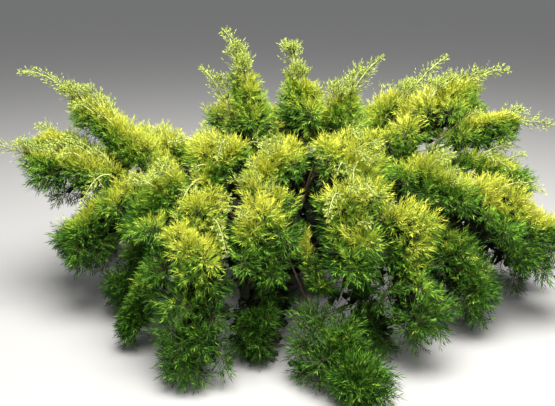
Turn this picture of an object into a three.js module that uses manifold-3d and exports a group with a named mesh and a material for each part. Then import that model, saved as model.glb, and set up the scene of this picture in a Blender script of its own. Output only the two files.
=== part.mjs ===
// A golden spreading conifer, rooted in level ground: a low shrub, about 2 m across and 0.9 m high.
// A short stem flares at the ground and carries arching limbs, and each limb forks into plumes of foliage.
// Units are millimetres and +Z is up. The origin is the centre of the flat cut at ground level.
import * as THREE from "three";
import { mergeVertices } from "three/addons/utils/BufferGeometryUtils.js";
import Module from "manifold-3d";

const wasm = await Module();
wasm.setup();

// Driving dimensions
const GAP = 0.3; // between two pieces that meet
const GROUND_CLEARANCE = 15; // lowest foliage above the ground
const SEED = 20;

// The stem's profile, from the root flare at the ground to its rounded top
const STEM = {
  flare: 74, foot: 56, footHeight: 16, waist: 45, waistHeight: 42, top: 38,
  height: 138, shoulder: 0.87, cap: 0.7, sides: 14,
};

// Limbs leave the stem in three rings, one above the other, and rise from it at a set angle
const RINGS = {
  low: { height: 50, inset: 12, radius: 17, rise: 22 },
  high: { height: 101, inset: 12, radius: 15, rise: 22 },
  top: { height: 130, inset: 18, radius: 14, rise: 84 },
};
const LIMB = { forkRadius: 10.6, taper: 0.8, sides: 7, segments: 5, footHandle: 0.36, forkHandle: 0.3 };

// A plume's own stem, its side twigs with their sprays, and its core
const PLUME_STEM = {
  radius: 4.5, tipRadius: 1.6, spacing: 9.9, sides: 3, segments: 5, footHandle: 0.3, shoulder: 0.66,
};
const TWIGS = {
  perMetre: 5.6, more: 1, first: 0.3, last: 0.95, foot: 0.18, least: 40, leastWidth: 0.25,
  width: 0.36, thickness: 7, forwardAtFoot: 0.3, forwardAtTip: 1.1, unevenness: 0.7,
};
const WHIP_TWIGS = { perMetre: 42, last: 0.97, forward: 1.3, reach: 64, width: 0.28, thickness: 4 };
const LEADERS = { count: 3, forward: 2, reach: 0.8 }; // the last twigs, past the end of the stem
const CORE = {
  hollow: [0.6, 0.76], tuft: [0.86, 0.98], lead: 0.45, pastEnd: 2, start: 0.1, end: 0.92,
  thin: 6, sides: 8, tuftSpacing: 78, leastSegments: 4,
};
const BITE = 3; // how far a mass that would cross another is cut back from it

// A plume's own space
const ROOM_STEP = 6; // how finely the room round a plume's stem is measured
const CELL_MARGIN = 9; // each plume keeps this far from the boundary with the next
const OPENING = { foot: 0.6, rate: 2, least: 0.1 }; // how quickly a plume broadens, in shares of its girth
const WHIP_ROOM = 34; // how far sprays stand off a whip
const ROUNDNESS = 6; // how late a plume closes towards its tip: a higher power keeps it wide for longer
const WHIP_ROUNDNESS = 1.6; // the same for a plume that ends in a whip
const BLUNTNESS = 0.5; // how far sprays stand out beyond a tip with no whip, in shares of the girth
const SAG = 0.5; // a plume reaches further down than up, by this share each way
const LUMPS = { waves: 7, shortest: 110, longest: 240, depth: 0.18, most: 1.35 }; // foliage grows unevenly
const AXIS_STEPS = 16;
const MERGE_DISTANCE = 1e-3; // corners that lie closer than this are one corner
const GOLDEN_ANGLE = Math.PI * (3 - Math.sqrt(5));
const GOLDEN_SHARE = (Math.sqrt(5) - 1) / 2;
const STEEP = 0.97; // a direction that climbs by more than this share is taken as upright

// Each limb: the way it leans, where it forks (reach, height), and the plumes that it forks into.
// A plume: azimuth in degrees from +X towards +Y, reach, height of its tip, arch, girth,
// the share at its end that is a bare whip, and the share at its foot that is bare.
const plume = (azimuth, reach, tip, arch, girth, whip = 0, bare = 0) => (
  { azimuth, reach, tip, arch, girth, whip, bare }
);
const LIMBS = {
  left: {
    azimuth: 178, ring: "low", fork: [310, 310], lean: 24,
    plumes: {
      left_long: plume(183, 960, 560, -20, 220, 0.14),
      left_low: plume(195, 640, 280, 130, 240),
      left_whip: plume(167, 970, 765, 200, 200, 0.34),
      left_mid: plume(174, 800, 510, 50, 210),
      left_under: plume(176, 680, 220, 100, 230),
    },
  },
  front_left: {
    azimuth: 228, ring: "high", fork: [240, 300], lean: 30,
    plumes: {
      front_left_hump: plume(216, 470, 400, 140, 220),
      front_left_curtain: plume(249, 660, 80, 300, 260),
      front_left_low: plume(225, 640, 70, 110, 110),
      front_left_under: plume(205, 520, 120, 90, 240),
    },
  },
  front: {
    azimuth: 270, ring: "low", fork: [200, 270], lean: 34,
    plumes: {
      front_hump: plume(262, 480, 350, 150, 280),
      front_inner: plume(284, 480, 210, 90, 260),
      front_under: plume(263, 490, 80, -50, 300),
      front_ground: plume(286, 790, 70, -150, 250, 0, 0.6),
    },
  },
  front_right: {
    azimuth: 312, ring: "high", fork: [270, 300], lean: 30,
    plumes: {
      front_right_hump: plume(294, 520, 340, 160, 280),
      front_right_gold: plume(309, 620, 210, 180, 280),
      front_right_under: plume(302, 540, 80, 80, 240),
    },
  },
  right_front: {
    azimuth: 345, ring: "low", fork: [300, 290], lean: 24,
    plumes: {
      right_front_low: plume(333, 680, 160, 150, 230),
      right_gold: plume(348, 860, 290, 130, 250),
      right_inner: plume(340, 590, 430, 120, 220),
    },
  },
  right: {
    azimuth: 13, ring: "high", fork: [310, 330], lean: 32,
    plumes: {
      right_upper_mid: plume(24, 740, 610, 120, 300),
      right_low: plume(3, 840, 170, 120, 250),
      right_mid: plume(3, 800, 420, 110, 220),
      right_whip: plume(10, 1065, 560, 200, 260, 0.22),
      right_upper_whip: plume(20, 930, 755, 200, 310, 0.28),
    },
  },
  back_right: {
    azimuth: 41, ring: "low", fork: [300, 330], lean: 32,
    plumes: {
      back_right_low: plume(32, 740, 140, 140, 290),
      back_right_mid: plume(50, 780, 340, 130, 200),
      back_right_whip: plume(31, 760, 800, 90, 270, 0.34),
      back_right_under: plume(57, 720, 130, 110, 300),
    },
  },
  back: {
    azimuth: 80, ring: "high", fork: [280, 340], lean: 32,
    plumes: {
      back_low: plume(81, 720, 130, 150, 300),
      back_mid_right: plume(70, 690, 440, 140, 190),
      back_mid_left: plume(95, 730, 400, 140, 210),
    },
  },
  back_left: {
    azimuth: 116, ring: "low", fork: [290, 320], lean: 28,
    plumes: {
      back_left_low: plume(105, 720, 130, 150, 300),
      back_left_mid: plume(120, 770, 330, 100, 190),
      left_back_low: plume(129, 730, 140, 140, 300),
    },
  },
  left_back: {
    azimuth: 150, ring: "high", fork: [290, 350], lean: 34,
    plumes: {
      left_back_mid: plume(147, 790, 370, 150, 200),
      left_back_top: plume(156, 640, 410, 80, 180),
      left_back_under: plume(151, 740, 160, 130, 290),
    },
  },
  crown_left: {
    azimuth: 170, ring: "top", fork: [60, 360], lean: 76,
    plumes: {
      crown_left_whip: plume(146, 225, 915, 200, 230, 0.38),
      crown_side_whip: plume(157, 290, 790, 120, 160, 0.44),
      crown_front_left: plume(226, 340, 450, 170, 220),
      crown_back_left: plume(118, 350, 600, 90, 200),
    },
  },
  crown_right: {
    azimuth: 10, ring: "top", fork: [95, 355], lean: 74,
    plumes: {
      crown_middle_whip: plume(80, 130, 870, 200, 260, 0.35),
      crown_right_whip: plume(14, 375, 830, 130, 220, 0.36),
      crown_front: plume(262, 270, 480, 150, 210),
      crown_front_right: plume(312, 400, 470, 150, 230),
      crown_back_right: plume(52, 370, 560, 110, 190),
    },
  },
};

// Small helpers
const radians = THREE.MathUtils.degToRad;
const lerp = THREE.MathUtils.lerp;
const clamp = THREE.MathUtils.clamp;
const UP = new THREE.Vector3(0, 0, 1);
const BACKWARDS = new THREE.Vector3(0, 1, 0);

function polar(azimuth, reach, height) {
  const a = radians(azimuth);
  return new THREE.Vector3(reach * Math.cos(a), reach * Math.sin(a), height);
}

// A seeded random number generator, the same on every run
function randomFrom(seed) {
  let state = seed;
  return () => {
    state = (state + 0x6d2b79f5) | 0;
    let t = Math.imul(state ^ (state >>> 15), 1 | state);
    t = (t + Math.imul(t ^ (t >>> 7), 61 | t)) ^ t;
    return ((t ^ (t >>> 14)) >>> 0) / 4294967296;
  };
}

// A closed three.js geometry as a solid that can be joined and cut
function solidOf(geometry) {
  const bare = geometry.index ? geometry.toNonIndexed() : geometry.clone();
  bare.deleteAttribute("normal");
  bare.deleteAttribute("uv");
  const merged = mergeVertices(bare, MERGE_DISTANCE);
  return new wasm.Manifold(
    new wasm.Mesh({
      numProp: 3,
      vertProperties: merged.attributes.position.array,
      triVerts: new Uint32Array(merged.index.array),
    }),
  );
}

// A joined solid as a named mesh
function meshOf(name, solid, material) {
  const { vertProperties, triVerts } = solid.getMesh();
  const geometry = new THREE.BufferGeometry();
  geometry.setAttribute("position", new THREE.BufferAttribute(vertProperties, 3));
  geometry.setIndex(new THREE.BufferAttribute(triVerts, 1));
  geometry.computeVertexNormals();
  const mesh = new THREE.Mesh(geometry, material);
  mesh.name = name;
  return mesh;
}

// The largest single body of a solid, so that no loose scrap is kept
function largestBody(solid) {
  return solid.decompose().reduce((a, b) => (a.volume() > b.volume() ? a : b));
}

// The point and the cross directions of a curve at a share of its length
function frameAt(curve, share) {
  const centre = curve.getPoint(share);
  const forward = curve.getTangent(share);
  const steady = Math.abs(forward.z) > STEEP ? BACKWARDS : UP;
  const side = new THREE.Vector3().crossVectors(forward, steady).normalize();
  const over = new THREE.Vector3().crossVectors(forward, side).normalize();
  return { centre, forward, side, over };
}

// The direction square to a curve at a frame, turned by an angle
function outwardAt(frame, angle) {
  return frame.side
    .clone()
    .multiplyScalar(Math.cos(angle))
    .addScaledVector(frame.over, Math.sin(angle));
}

// A closed cylinder bent along a curve. At ring i, corner j, shapeAt gives the radius
// and how far the corner leads its ring along the curve.
function sleeve(curve, segments, sides, shapeAt, from = 0, to = 1) {
  const geometry = new THREE.CylinderGeometry(1, 1, 1, sides, segments, false, Math.PI / 2);
  const position = geometry.attributes.position;
  for (let k = 0; k < position.count; k++) {
    const x = position.getX(k);
    const z = position.getZ(k);
    const i = Math.round((position.getY(k) + 0.5) * segments);
    const frame = frameAt(curve, lerp(from, to, i / segments));
    const isCorner = Math.hypot(x, z) > 0.5;
    const j = (Math.round((Math.atan2(-z, x) / (2 * Math.PI)) * sides) + sides) % sides;
    const { radius, lead = 0 } = shapeAt(i, j);
    const point = frame.centre
      .clone()
      .addScaledVector(outwardAt(frame, (j / sides) * 2 * Math.PI), isCorner ? radius : 0)
      .addScaledVector(frame.forward, lead);
    position.setXYZ(k, point.x, point.y, point.z);
  }
  return solidOf(geometry);
}

// The nearest place on a curve's sampled line to a point: its distance, its share of the line,
// and how steeply the point lies above it, from -1 to 1
const spot = new THREE.Vector3();
const chord = new THREE.Line3();
function nearest(line, point) {
  const best = { distance: Infinity, share: 0, rise: 0 };
  for (let i = 0; i + 1 < line.length; i++) {
    chord.set(line[i], line[i + 1]);
    const t = chord.closestPointToPointParameter(point, true);
    const distance = chord.at(t, spot).distanceTo(point);
    if (distance < best.distance) {
      best.distance = distance;
      best.share = (i + t) / (line.length - 1);
      best.rise = (point.z - spot.z) / Math.max(distance, 1);
    }
  }
  return best;
}

// The stem: turned from its profile, cut flat at the ground
function stemSolid(extra = 0) {
  const profile = [
    [0, 0],
    [STEM.flare + extra, 0],
    [STEM.foot + extra, STEM.footHeight],
    [STEM.waist + extra, STEM.waistHeight],
    [STEM.top + extra, STEM.height * STEM.shoulder],
    [STEM.top * STEM.cap + extra, STEM.height + extra],
    [0, STEM.height + extra],
  ].map(([r, z]) => new THREE.Vector2(r, z));
  return solidOf(new THREE.LatheGeometry(profile, STEM.sides).rotateX(Math.PI / 2));
}

// A limb: from inside the stem, outwards and up, to the flat end where it forks
function limbCurve({ azimuth, ring, fork, lean }) {
  const { height, inset, rise } = RINGS[ring];
  const start = polar(azimuth, inset, height);
  const end = polar(azimuth, fork[0], fork[1]);
  const length = start.distanceTo(end);
  const rising = polar(azimuth, Math.cos(radians(rise)), Math.sin(radians(rise)));
  const leaving = polar(azimuth, Math.cos(radians(lean)), Math.sin(radians(lean)));
  return new THREE.CubicBezierCurve3(
    start,
    start.clone().addScaledVector(rising, length * LIMB.footHandle),
    end.clone().addScaledVector(leaving, -length * LIMB.forkHandle),
    end,
  );
}

function makeLimb(name, spec) {
  const curve = limbCurve(spec);
  const thick = RINGS[spec.ring].radius;
  const shapeAt = (i) => ({ radius: lerp(thick, LIMB.forkRadius, (i / LIMB.segments) ** LIMB.taper) });
  return {
    name,
    spec,
    curve,
    line: curve.getPoints(AXIS_STEPS),
    thick,
    solid: sleeve(curve, LIMB.segments, LIMB.sides, shapeAt).subtract(stemSolid(GAP)),
  };
}

// The plumes of a limb: their stems start side by side just past the fork, leave it the way the limb ends,
// and then arch over to their tips
function makePlumes(limb) {
  const fork = frameAt(limb.curve, 1);
  const entries = Object.entries(limb.spec.plumes).map(([name, spec]) => {
    const tip = polar(spec.azimuth, spec.reach, spec.tip);
    const away = tip.clone().sub(fork.centre);
    return { name, ...spec, end: tip, turn: Math.atan2(away.dot(fork.over), away.dot(fork.side)) };
  });
  entries.sort((a, b) => a.turn - b.turn);
  const step = (2 * Math.PI) / entries.length;
  const first = entries.reduce((sum, entry, k) => sum + entry.turn - k * step, 0) / entries.length;
  const ringRadius = PLUME_STEM.spacing / (2 * Math.sin(step / 2));
  return entries.map((entry, k) => {
    const start = fork.centre
      .clone()
      .addScaledVector(fork.forward, GAP)
      .addScaledVector(outwardAt(fork, first + k * step), ringRadius);
    const span = start.distanceTo(entry.end);
    const curve = new THREE.CubicBezierCurve3(
      start,
      start.clone().addScaledVector(fork.forward, span * PLUME_STEM.footHandle),
      start.clone().lerp(entry.end, PLUME_STEM.shoulder).addScaledVector(UP, entry.arch),
      entry.end,
    );
    return { ...entry, curve, line: curve.getPoints(AXIS_STEPS), span };
  });
}

// Long waves through the whole crown, each in its own direction
const lumpWaves = Array.from({ length: LUMPS.waves }, (_, k) => {
  const phase = (k * GOLDEN_SHARE) % 1;
  const climb = 1 - (k + 0.5) / LUMPS.waves;
  const flat = Math.sqrt(1 - climb ** 2);
  const turn = k * GOLDEN_ANGLE;
  const direction = new THREE.Vector3(flat * Math.cos(turn), flat * Math.sin(turn), climb);
  return { phase, direction, length: lerp(LUMPS.shortest, LUMPS.longest, phase) };
});

// A smooth unevenness, about 1 on the average
function lumpsAt(point) {
  let sum = 0;
  for (const { phase, direction, length } of lumpWaves) {
    sum += Math.sin(2 * Math.PI * (direction.dot(point) / length + phase));
  }
  return 1 + (LUMPS.depth * sum) / Math.sqrt(LUMPS.waves / 2);
}

// How far a plume's sprays may stand from its stem, at a share of the stem's length
function envelope({ girth, whip, bare }, share, rise) {
  const along = Math.min(1, share / (1 - whip));
  const opening = clamp(OPENING.foot + OPENING.rate * (along - bare), OPENING.least, 1);
  const closing = along ** (whip > 0 ? WHIP_ROUNDNESS : ROUNDNESS);
  const tip = whip > 0 ? WHIP_ROOM : girth * BLUNTNESS;
  return Math.max(tip, girth * opening * Math.sqrt(1 - closing)) * (1 - SAG * rise);
}

// Whether a point lies in a plume's own space: near its stem, nearer to it than to any other plume's,
// clear of every limb, and above the ground
function isInSpace(own, point, crown) {
  if (point.z < GROUND_CLEARANCE) return false;
  const mine = nearest(own.line, point);
  if (mine.distance > envelope(own, mine.share, mine.rise) * lumpsAt(point)) return false;
  for (const other of crown.plumes) {
    if (other === own) continue;
    const lead = nearest(other.line, point).distance / other.girth - mine.distance / own.girth;
    if (lead < CELL_MARGIN * (1 / own.girth + 1 / other.girth)) return false;
  }
  return crown.limbs.every(({ line, thick }) => nearest(line, point).distance > thick + CELL_MARGIN);
}

// How far a plume's space goes from a point in one direction, up to a given length
function roomFor(own, from, direction, most, crown) {
  const point = new THREE.Vector3();
  let room = 0;
  while (room + ROOM_STEP <= most) {
    point.copy(from).addScaledVector(direction, room + ROOM_STEP);
    if (!isInSpace(own, point, crown)) break;
    room += ROOM_STEP;
  }
  return room;
}

// A spray of needles is a flat blade, thick along its middle, that starts as a slim twig.
// Points of its edge run from its foot at 0 to its tip at 1, in shares of its length and of its half width.
const TOOTHED_EDGE = [
  [0, 0], [0.42, 0.42], [0.78, 1], [0.7, 0.34], [1, 0], [0.7, -0.34], [0.78, -1], [0.42, -0.42],
];
const PLAIN_EDGE = [[0, 0], [0.6, 1], [1, 0], [0.6, -1]];
const THICKEST = 0.62; // where along its length a spray is thickest

function spraySolid({ foot, direction, length, across, width, thickness, edge }) {
  const normal = new THREE.Vector3().crossVectors(direction, across);
  const at = (u, v, w) =>
    foot
      .clone()
      .addScaledVector(direction, u * length)
      .addScaledVector(across, v * width)
      .addScaledVector(normal, w);
  const rim = edge.map(([u, v]) => at(u, v, 0));
  const front = at(THICKEST, 0, thickness / 2);
  const back = at(THICKEST, 0, -thickness / 2);
  const corners = rim.flatMap((p, k) => {
    const next = rim[(k + 1) % rim.length];
    return [next, p, front, p, next, back];
  });
  return solidOf(new THREE.BufferGeometry().setFromPoints(corners));
}

// A spray on a twig out of the plume's stem, as long and as wide as its space allows,
// or none where that is too little
function laySpray(own, frame, turn, forward, kind, crown) {
  const outward = outwardAt(frame, turn);
  const direction = outward.clone().addScaledVector(frame.forward, forward).normalize();
  const across = new THREE.Vector3().crossVectors(direction, outward).normalize();
  const room = roomFor(own, frame.centre, direction, kind.reach, crown);
  if (room < TWIGS.least) return [];
  const foot = frame.centre.clone().addScaledVector(direction, room * kind.foot);
  const length = room * (1 - kind.foot);
  const widest = foot.clone().addScaledVector(direction, length * THICKEST);
  const rooms = [1, -1].map((way) =>
    roomFor(own, widest, across.clone().multiplyScalar(way), length * kind.width, crown),
  );
  const width = Math.min(...rooms);
  if (width < length * kind.width * TWIGS.leastWidth) return [];
  return [spraySolid({ ...kind, foot, direction, length, across, width })];
}

// The core that fills most of a dense plume: tufts lean forwards out of it, with hollows between them,
// and its last ring stands out past the end of the plume's stem
function coreSolid(own, crown, random) {
  const start = Math.max(CORE.start, own.bare);
  const end = CORE.end * (1 - own.whip);
  const segments = Math.max(CORE.leastSegments, Math.round((own.span * (end - start)) / CORE.tuftSpacing));
  const chances = Array.from({ length: (segments + 1) * CORE.sides }, random);
  const shapeAt = (i, j) => {
    const share = lerp(start, end, i / segments);
    const frame = frameAt(own.curve, share);
    const isLast = i === segments;
    const isTuft = i > 0 && !isLast && (i + j) % 2 === 0;
    const lean = isTuft ? CORE.lead : isLast ? CORE.pastEnd : 0;
    const stretch = Math.hypot(1, lean);
    const outward = outwardAt(frame, (j / CORE.sides) * 2 * Math.PI);
    const direction = outward.addScaledVector(frame.forward, lean).normalize();
    const most = envelope(own, share, direction.z) * stretch * LUMPS.most;
    const [least, full] = isTuft ? CORE.tuft : CORE.hollow;
    const filled = lerp(least, full, chances[i * CORE.sides + j]);
    const room = roomFor(own, frame.centre, direction, most, crown);
    const radius = Math.max(CORE.thin, (room * filled) / stretch);
    return { radius, lead: radius * lean };
  };
  return sleeve(own.curve, segments, CORE.sides, shapeAt, start, end);
}

// The sprays of a plume: round its stem by the golden angle, small ones on its whip, a few past its tip
function laySprays(own, crown, random) {
  const turnAt = (k) => k * GOLDEN_ANGLE + (random() - 0.5) * TWIGS.unevenness;
  const toothed = { ...TWIGS, edge: TOOTHED_EDGE };
  const plain = { ...WHIP_TWIGS, foot: 0, edge: PLAIN_EDGE };
  const bodyEnd = 1 - own.whip;
  const first = Math.max(TWIGS.first, own.bare);
  const sprays = [];
  const count = Math.round((TWIGS.perMetre * own.span * (bodyEnd - own.bare)) / 1000) + TWIGS.more;
  for (let k = 0; k < count; k++) {
    const along = k / (count - 1);
    const frame = frameAt(own.curve, bodyEnd * lerp(first, TWIGS.last, along));
    const forward = lerp(TWIGS.forwardAtFoot, TWIGS.forwardAtTip, along);
    const kind = { ...toothed, reach: own.girth * Math.hypot(1, forward) };
    sprays.push(...laySpray(own, frame, turnAt(k), forward, kind, crown));
  }
  const whipCount = Math.ceil((WHIP_TWIGS.perMetre * own.span * own.whip) / 1000);
  for (let k = 0; k < whipCount; k++) {
    const frame = frameAt(own.curve, lerp(bodyEnd, WHIP_TWIGS.last, (k + 1) / whipCount));
    sprays.push(...laySpray(own, frame, turnAt(k), WHIP_TWIGS.forward, plain, crown));
  }
  const tip = frameAt(own.curve, WHIP_TWIGS.last);
  const last = own.whip > 0 ? plain : { ...toothed, foot: 0, reach: own.girth * LEADERS.reach };
  for (let k = 0; k < LEADERS.count; k++) {
    sprays.push(...laySpray(own, tip, turnAt(k), LEADERS.forward, last, crown));
  }
  return sprays;
}

// A plume: its stem, its core and its sprays in one solid
function plumeSolid(own, crown, random) {
  const { radius, tipRadius, segments, sides } = PLUME_STEM;
  const stemShape = (i) => ({ radius: lerp(radius, tipRadius, i / segments) });
  return wasm.Manifold.union([
    sleeve(own.curve, segments, sides, stemShape),
    coreSolid(own, crown, random),
    ...laySprays(own, crown, random),
  ]);
}

// A block round a solid, a little larger than it on every side
function blockRound(solid) {
  const { min, max } = solid.boundingBox();
  const size = max.map((most, k) => most - min[k] + 2 * BITE);
  const middle = max.map((most, k) => (most + min[k]) / 2);
  return solidOf(new THREE.BoxGeometry(...size).translate(...middle));
}

// Where a new mass would still cross an earlier one, the new one gives way
function clearOf(masses, solid) {
  const crossings = masses.flatMap((mass) => solid.intersect(mass).decompose());
  return crossings.reduce((rest, crossing) => rest.subtract(blockRound(crossing)), solid);
}

const bark = new THREE.MeshStandardMaterial({ color: 0x5a4536, roughness: 0.95, metalness: 0 });
const foliage = new THREE.MeshStandardMaterial({ color: 0x8aa32c, roughness: 0.8, metalness: 0 });

const conifer = new THREE.Group();
conifer.add(meshOf("stem", stemSolid(), bark));

const limbs = Object.entries(LIMBS).map(([name, spec]) => makeLimb(name, spec));
for (const limb of limbs) conifer.add(meshOf("limb_" + limb.name, largestBody(limb.solid), bark));

const crown = { limbs, plumes: limbs.flatMap(makePlumes) };
const masses = [];
crown.plumes.forEach((own, k) => {
  const solid = plumeSolid(own, crown, randomFrom(SEED + k));
  const mass = largestBody(clearOf(masses, solid));
  masses.push(mass);
  conifer.add(meshOf("foliage_" + own.name, mass, foliage));
});

export default conifer;
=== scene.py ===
# %% [markdown]
# # A golden spreading conifer
# The real plant is a low garden shrub, about two metres across and not quite a metre high. A short stem sends
# out arching limbs, each limb forks into plumes, and each plume is a feather of twigs, shoots and needles.
# The frame below holds the plant's solids at their true size. It is loaded first, so that everything made
# after it can be checked against its box and can ride on its one body.

# %% Load the frame
import math

import bpy
import numpy as np
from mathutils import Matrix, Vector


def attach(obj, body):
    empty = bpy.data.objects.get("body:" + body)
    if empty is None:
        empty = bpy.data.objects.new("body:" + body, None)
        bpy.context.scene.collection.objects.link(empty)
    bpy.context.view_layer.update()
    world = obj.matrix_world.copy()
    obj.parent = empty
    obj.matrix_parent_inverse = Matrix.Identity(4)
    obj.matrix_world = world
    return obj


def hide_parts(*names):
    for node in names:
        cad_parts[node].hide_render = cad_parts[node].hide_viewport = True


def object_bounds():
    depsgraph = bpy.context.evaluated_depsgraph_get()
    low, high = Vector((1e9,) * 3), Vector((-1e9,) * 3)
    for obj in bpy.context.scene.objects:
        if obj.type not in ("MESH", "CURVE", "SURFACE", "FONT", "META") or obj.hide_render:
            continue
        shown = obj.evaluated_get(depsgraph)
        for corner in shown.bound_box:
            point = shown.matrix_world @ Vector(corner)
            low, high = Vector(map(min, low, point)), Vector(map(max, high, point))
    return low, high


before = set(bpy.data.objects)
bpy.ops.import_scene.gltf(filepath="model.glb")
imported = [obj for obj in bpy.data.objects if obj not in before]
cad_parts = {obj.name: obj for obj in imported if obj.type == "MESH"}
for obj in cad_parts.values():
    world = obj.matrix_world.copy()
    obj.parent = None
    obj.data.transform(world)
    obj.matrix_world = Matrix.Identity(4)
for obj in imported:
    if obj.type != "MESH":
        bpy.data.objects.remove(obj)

FRAME_BOX = [list(corner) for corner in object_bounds()]
BODY = "root"
print("frame:", len(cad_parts), "nodes, box", FRAME_BOX)

# %% [markdown]
# ## The camera
# The photograph was taken standing up, a few steps in front of the shrub, looking down a little. A camera's
# angle can be found by trial, or from the ground: the plant's spread on the ground and the height of its tips
# fit a focal length of 762 pixels and a tilt of 17 degrees. The lens follows from the focal length, for a
# sensor 36 mm wide.

# %% Place the camera
PHOTO_WIDTH = 555
FOCAL_PIXELS = 762
SENSOR = 36
CAMERA_PLACE = (0, -2.58, 1.12)
LOOKING_DOWN = math.radians(17)

scene = bpy.context.scene
camera_data = bpy.data.cameras.new("camera")
camera_data.sensor_width = SENSOR
camera_data.lens = SENSOR * FOCAL_PIXELS / PHOTO_WIDTH
camera = bpy.data.objects.new("camera", camera_data)
camera.location = CAMERA_PLACE
camera.rotation_euler = (math.pi / 2 - LOOKING_DOWN, 0, 0)
scene.collection.objects.link(camera)
scene.camera = camera
scene.view_settings.view_transform = "Standard"
print("lens", round(camera_data.lens, 1), "mm")

# %% [markdown]
# ## Studio light and floor
# Foliage reads by its depth: tips catch the sky and the inside of the plant is nearly black. One very large
# soft lamp overhead does that without hard shadows, and a weak, even world light keeps the shade readable.
# A second soft lamp from the camera's side opens the flanks. The floor is plain and pale.

# %% Light the studio
FLOOR_SIZE = 120
FLOOR_COLOUR = (0.34, 0.33, 0.315, 1)
WORLD_LIGHT = 0.46
WORLD_COLOUR = (0.93, 0.96, 1, 1)
LAMPS = {
    "overhead": dict(place=(0.3, -0.7, 3.4), size=3.0, power=410),
    "front": dict(place=(1.6, -3.2, 2.4), size=2.6, power=36),
}


def aim(lamp, target=(0, 0, 0.35)):
    """Turns a lamp so that it shines at a point."""
    away = np.array(lamp.location) - np.array(target)
    lamp.rotation_euler[0] = math.atan2(math.hypot(away[0], away[1]), away[2])
    lamp.rotation_euler[2] = math.atan2(away[0], -away[1])


for name, lamp in LAMPS.items():
    bpy.ops.object.light_add(type="AREA", location=lamp["place"])
    light = bpy.context.object
    light.name = name
    light.data.size = lamp["size"]
    light.data.energy = lamp["power"]
    aim(light)

world = bpy.data.worlds.new("studio")
world.use_nodes = True
background = world.node_tree.nodes["Background"]
background.inputs["Color"].default_value = WORLD_COLOUR
background.inputs["Strength"].default_value = WORLD_LIGHT
scene.world = world

bpy.ops.mesh.primitive_plane_add(size=FLOOR_SIZE)
floor = bpy.context.object
floor.name = "floor"
print("studio: floor", FLOOR_SIZE, "m,", len(LAMPS), "lamps")

# %% [markdown]
# ## Materials as sums
# A material's maths can be built node by node, but it reads better as a sum. `Value` wraps a socket, so that
# `1 - mottle` adds a Math node by itself. `Finish` holds one material and adds any other node from its type,
# its settings and the values or links of its sockets.


# %% Helpers for materials
class Value:
    """A number that a material works out. Sums on it add Math nodes."""

    def __init__(self, tree, socket):
        self.tree = tree
        self.socket = socket

    def maths(self, operation, first, second):
        node = self.tree.nodes.new("ShaderNodeMath")
        node.operation = operation
        for socket, operand in zip(node.inputs, (first, second)):
            connect(self.tree, socket, operand)
        return Value(self.tree, node.outputs[0])

    def __sub__(self, other):
        return self.maths("SUBTRACT", self, other)

    def __rsub__(self, other):
        return self.maths("SUBTRACT", other, self)

    def __mul__(self, other):
        return self.maths("MULTIPLY", self, other)

    def __rmul__(self, other):
        return self.maths("MULTIPLY", other, self)


def connect(tree, socket, value):
    """Links a wrapped socket to an input, or sets the input to a plain value."""
    if isinstance(value, Value):
        tree.links.new(value.socket, socket)
    else:
        socket.default_value = value


def socket_named(sockets, key):
    return next(s for s in sockets if key in (s.identifier, s.name))


class Finish:
    """A material, with one Principled shader, whose plain values are set when it is made."""

    def __init__(self, name, **plain):
        self.material = bpy.data.materials.new(name)
        self.material.use_nodes = True
        self.tree = self.material.node_tree
        self.shader = self.tree.nodes["Principled BSDF"]
        for key, value in plain.items():
            self.shader.inputs[key.replace("_", " ")].default_value = value

    def node(self, kind, output, settings, **inputs):
        """Adds a node and returns one output of it."""
        node = self.tree.nodes.new(kind)
        for key, value in settings.items():
            if key == "stops":
                self.set_stops(node.color_ramp, value)
            else:
                setattr(node, key, value)
        for key, value in inputs.items():
            connect(self.tree, socket_named(node.inputs, key), value)
        return Value(self.tree, socket_named(node.outputs, output))

    def set_stops(self, ramp, stops):
        while len(ramp.elements) < len(stops):
            ramp.elements.new(1)
        for element, (place, colour) in zip(ramp.elements, stops):
            element.position = place
            element.color = colour

    def feed(self, key, value):
        connect(self.tree, self.shader.inputs[key], value)

    def noise(self, vector, scale, detail=2):
        return self.node("ShaderNodeTexNoise", "Fac", {}, Vector=vector, Scale=scale, Detail=detail)

    def mix(self, factor, first, second):
        return self.node(
            "ShaderNodeMix", "Result_Color", {"data_type": "RGBA"},
            Factor_Float=factor, A_Color=first, B_Color=second,
        )

    def object_place(self):
        return self.node("ShaderNodeTexCoord", "Object", {})


floor_finish = Finish("studio_floor", Roughness=0.9)
floor_finish.feed("Base Color", FLOOR_COLOUR)
floor.data.materials.append(floor_finish.material)

# %% [markdown]
# ## The plant's plan
# Every size that shapes the plant stands here, in metres and degrees. A limb has its azimuth, the ring of the
# stem that it leaves, the reach and height of its fork, and how it leans there. A plume has an azimuth from
# the right-hand side towards the back, a reach, the height of its tip, how far it arches above a straight
# line, its girth, the share of it that is a whip, and the share at its foot that is bare. The table could
# come from measured points, but a few sizes that mean something can be judged and changed one by one.

# %% Sizes of the stem, limbs and plumes
SEED = 20
GAP = 0.0003
STEM_PROFILE = [(0.074, 0), (0.056, 0.016), (0.045, 0.042), (0.038, 0.12), (0.0266, 0.138)]
RINGS = {
    "low": dict(height=0.050, inset=0.012, radius=0.017, rise=22),
    "high": dict(height=0.101, inset=0.012, radius=0.015, rise=22),
    "top": dict(height=0.130, inset=0.018, radius=0.014, rise=84),
}
LIMB = dict(fork_radius=0.0106, taper=0.8, foot_handle=0.36, fork_handle=0.3)
PLUME_STEM = dict(radius=0.0045, tip_radius=0.0016, spacing=0.0099, foot_handle=0.3, shoulder=0.66)


def plume(azimuth, reach, tip, arch, girth, whip=0.0, bare=0.0):
    return dict(azimuth=azimuth, reach=reach, tip=tip, arch=arch, girth=girth, whip=whip, bare=bare)


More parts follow.
